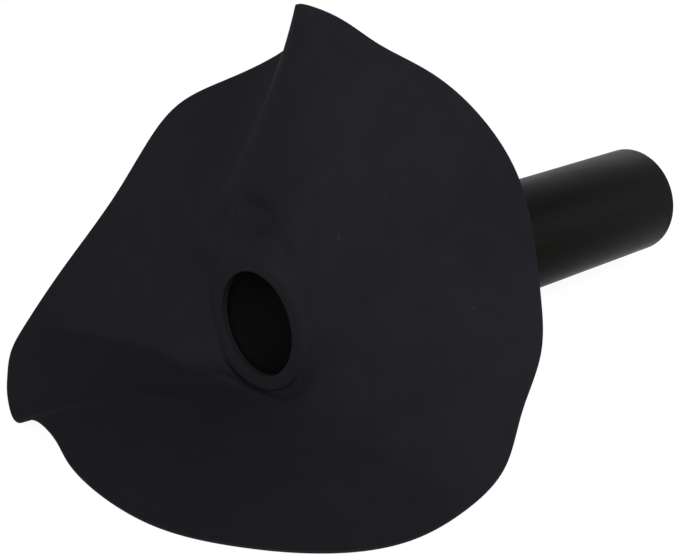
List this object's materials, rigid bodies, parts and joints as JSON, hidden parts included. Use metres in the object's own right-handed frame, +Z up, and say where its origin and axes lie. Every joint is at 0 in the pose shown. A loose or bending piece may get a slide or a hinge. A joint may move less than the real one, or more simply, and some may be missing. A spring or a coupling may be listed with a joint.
{
  "type": "roof drain outlet",
  "caption": "Flat-roof drain outlet: a limp black rubber membrane disc moulded to a collar on the end of a straight black drain pipe, lying with the disc draped and folded.",
  "frame": {"origin": "centre of the mouth, in the plane of the collar's front face", "axes": "+Y along the pipe, away from the mouth; +Z up as it lies; +X to the right, seen from in front of the mouth"},
  "size_m": [0.3775, 0.5026, 0.2338],
  "materials": {
    "epdm_rubber": "matt, lightly dusted sheet rubber",
    "pipe_plastic": "satin extruded plastic"
  },
  "bodies": {
    "root": {"epdm_flange": "epdm_rubber", "outlet_pipe": "pipe_plastic"}
  },
  "joints": []
}
